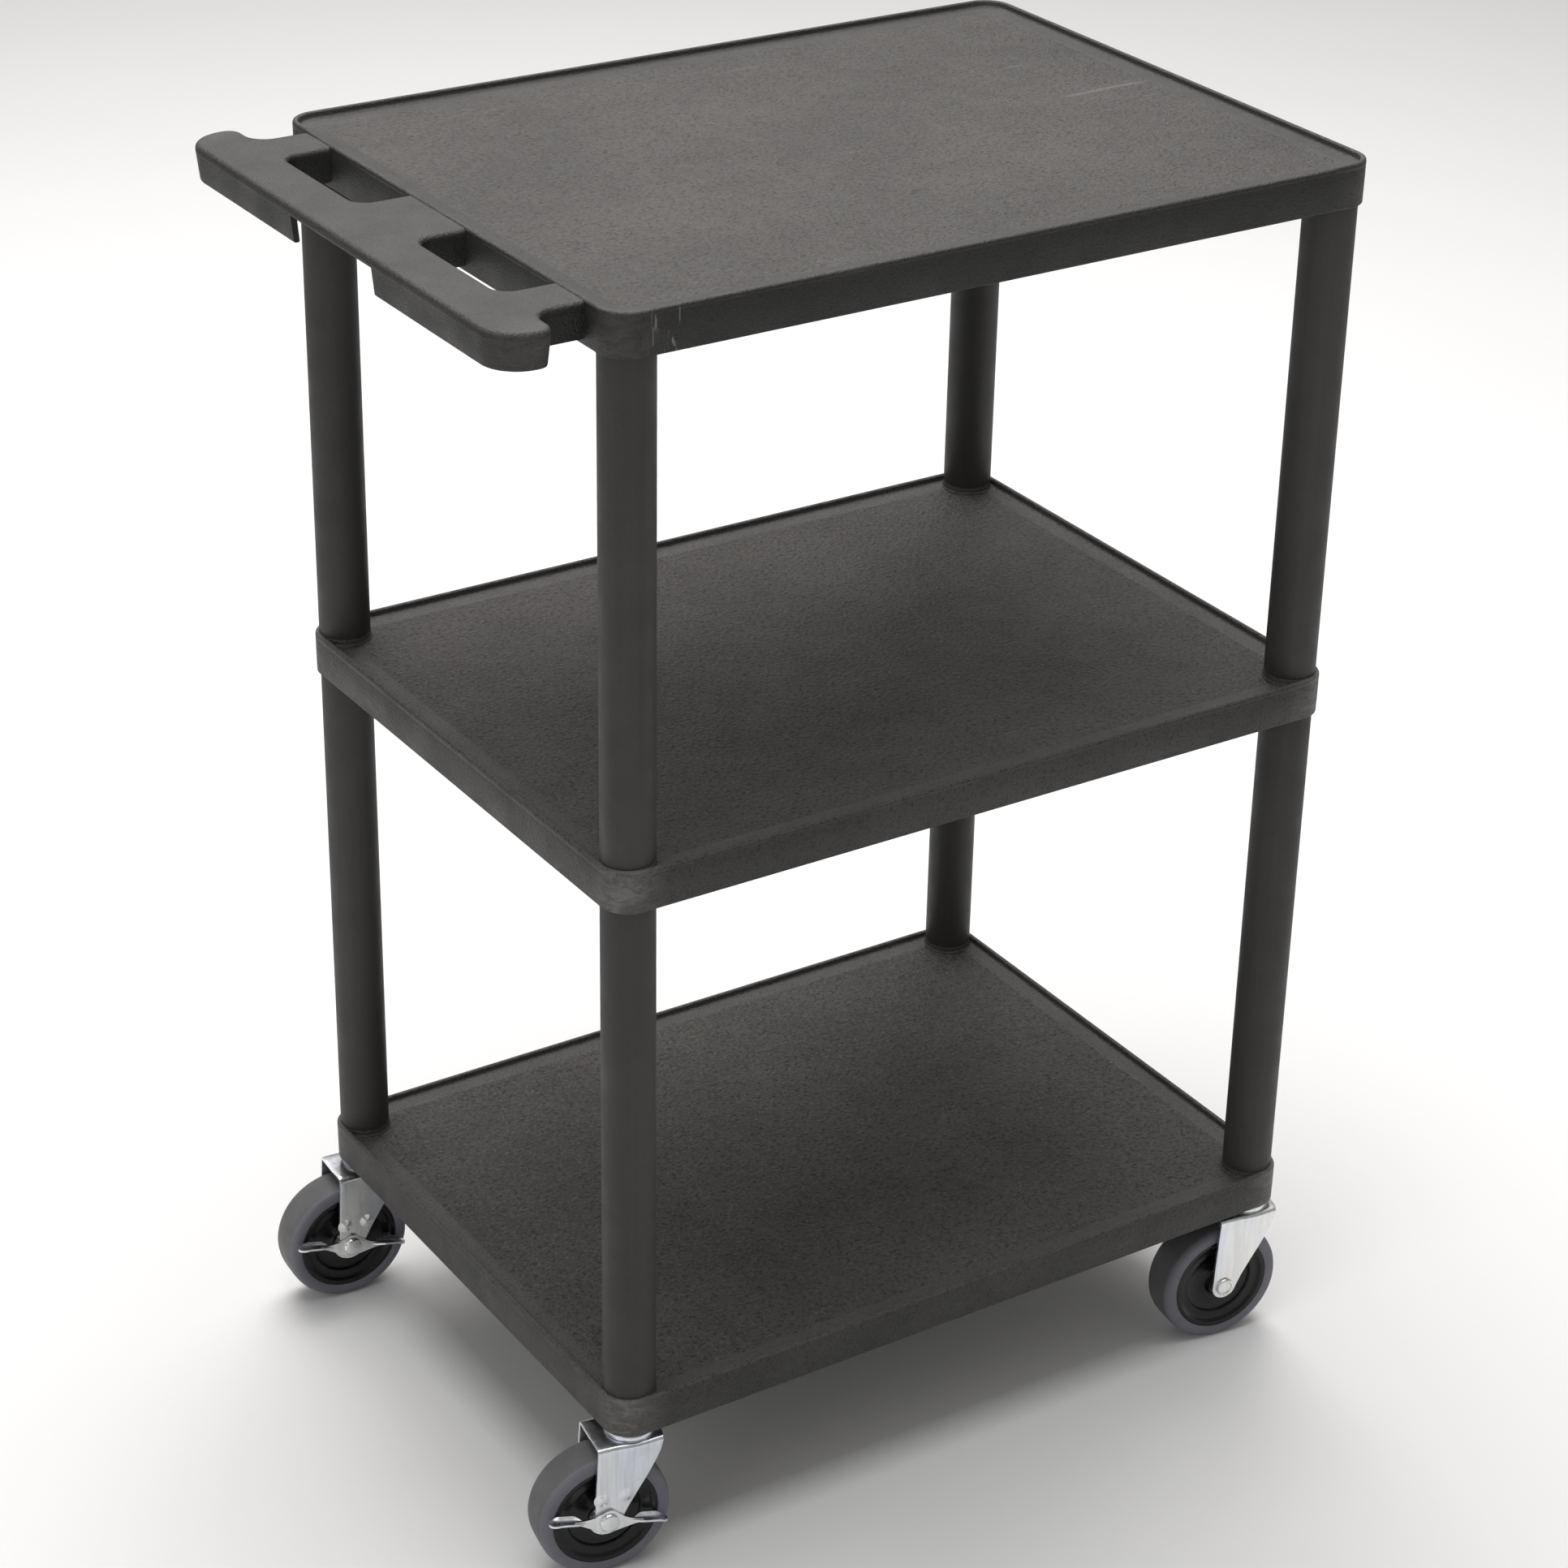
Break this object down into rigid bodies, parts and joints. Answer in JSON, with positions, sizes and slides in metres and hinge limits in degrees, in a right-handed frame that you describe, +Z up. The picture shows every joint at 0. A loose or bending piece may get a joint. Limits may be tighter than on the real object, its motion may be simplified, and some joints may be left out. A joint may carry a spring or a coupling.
{
  "type": "rolling utility cart",
  "caption": "Moulded plastic utility cart: lipped shelves on round legs, push handle with hand slots, swivel casters with foot brakes.",
  "frame": {"origin": "on the floor, under the middle of the cart with its handle", "axes": "+X along the length, away from the handle; +Y towards the lipped long side; +Z up"},
  "size_m": [0.6937, 0.4722, 0.974],
  "materials": {
    "top_plastic": "pebbled, scuffed",
    "shelf_plastic": "pebbled, scuffed",
    "leg_plastic": "smooth satin",
    "hub_plastic": "gloss",
    "tread_rubber": "matte grey",
    "zinc_plate": "bright zinc plating",
    "bearing_steel": "polished"
  },
  "bodies": {
    "frame": {"top_shelf": "top_plastic", "middle_shelf": "shelf_plastic", "bottom_shelf": "shelf_plastic", "upper_leg_handle_near": "leg_plastic", "upper_leg_handle_far": "leg_plastic", "upper_leg_end_near": "leg_plastic", "upper_leg_end_far": "leg_plastic", "lower_leg_handle_near": "leg_plastic", "lower_leg_handle_far": "leg_plastic", "lower_leg_end_near": "leg_plastic", "lower_leg_end_far": "leg_plastic", "stem_sleeves": "zinc_plate", "grip_rings": "zinc_plate", "kingpin_handle_near": "zinc_plate", "kingpin_handle_far": "zinc_plate", "kingpin_end_near": "zinc_plate", "kingpin_end_far": "zinc_plate", "raceway_cap_handle_near": "zinc_plate", "raceway_cap_handle_far": "zinc_plate", "raceway_cap_end_near": "zinc_plate", "raceway_cap_end_far": "zinc_plate"},
    "caster_handle_near": {"bearing_balls_handle_near": "bearing_steel", "fork_handle_near": "zinc_plate", "axle_bolt_handle_near": "zinc_plate", "axle_nut_handle_near": "zinc_plate", "axle_bush_handle_near": "zinc_plate", "brake_washer_handle_near": "zinc_plate"},
    "wheel_handle_near": {"wheel_hub_handle_near": "hub_plastic", "wheel_tread_handle_near": "tread_rubber"},
    "brake_handle_near": {"brake_pedal_handle_near": "zinc_plate"},
    "caster_handle_far": {"bearing_balls_handle_far": "bearing_steel", "fork_handle_far": "zinc_plate", "axle_bolt_handle_far": "zinc_plate", "axle_nut_handle_far": "zinc_plate", "axle_bush_handle_far": "zinc_plate", "brake_washer_handle_far": "zinc_plate"},
    "wheel_handle_far": {"wheel_hub_handle_far": "hub_plastic", "wheel_tread_handle_far": "tread_rubber"},
    "brake_handle_far": {"brake_pedal_handle_far": "zinc_plate"},
    "caster_end_near": {"bearing_balls_end_near": "bearing_steel", "fork_end_near": "zinc_plate", "axle_bolt_end_near": "zinc_plate", "axle_nut_end_near": "zinc_plate", "axle_bush_end_near": "zinc_plate"},
    "wheel_end_near": {"wheel_hub_end_near": "hub_plastic", "wheel_tread_end_near": "tread_rubber"},
    "caster_end_far": {"bearing_balls_end_far": "bearing_steel", "fork_end_far": "zinc_plate", "axle_bolt_end_far": "zinc_plate", "axle_nut_end_far": "zinc_plate", "axle_bush_end_far": "zinc_plate"},
    "wheel_end_far": {"wheel_hub_end_far": "hub_plastic", "wheel_tread_end_far": "tread_rubber"}
  },
  "joints": [
    {"name": "swivel_handle_near", "type": "hinge", "parent": "frame", "child": "caster_handle_near", "pos_m": [-0.2438, -0.2066, 0.12], "axis": [0, 0, 1], "continuous": true},
    {"name": "roll_handle_near", "type": "hinge", "parent": "caster_handle_near", "child": "wheel_handle_near", "pos_m": [-0.26743, -0.20243, 0.0508], "axis": [-0.1736, -0.9848, 0], "continuous": true},
    {"name": "brake_handle_near", "type": "hinge", "parent": "caster_handle_near", "child": "brake_handle_near", "pos_m": [-0.26743, -0.20243, 0.0508], "axis": [-0.1736, -0.9848, 0], "range_deg": [0, 24]},
    {"name": "swivel_handle_far", "type": "hinge", "parent": "frame", "child": "caster_handle_far", "pos_m": [-0.2438, 0.2066, 0.12], "axis": [0, 0, 1], "continuous": true},
    {"name": "roll_handle_far", "type": "hinge", "parent": "caster_handle_far", "child": "wheel_handle_far", "pos_m": [-0.26774, 0.20827, 0.0508], "axis": [-0.0698, -0.9976, 0], "continuous": true},
    {"name": "brake_handle_far", "type": "hinge", "parent": "caster_handle_far", "child": "brake_handle_far", "pos_m": [-0.26774, 0.20827, 0.0508], "axis": [-0.0698, -0.9976, 0], "range_deg": [0, 24]},
    {"name": "swivel_end_near", "type": "hinge", "parent": "frame", "child": "caster_end_near", "pos_m": [0.3218, -0.2066, 0.12], "axis": [0, 0, 1], "continuous": true},
    {"name": "roll_end_near", "type": "hinge", "parent": "caster_end_near", "child": "wheel_end_near", "pos_m": [0.29803, -0.20326, 0.0508], "axis": [-0.1392, -0.9903, 0], "continuous": true},
    {"name": "swivel_end_far", "type": "hinge", "parent": "frame", "child": "caster_end_far", "pos_m": [0.3218, 0.2066, 0.12], "axis": [0, 0, 1], "continuous": true},
    {"name": "roll_end_far", "type": "hinge", "parent": "caster_end_far", "child": "wheel_end_far", "pos_m": [0.29789, 0.20869, 0.0508], "axis": [-0.0872, -0.9962, 0], "continuous": true}
  ]
}
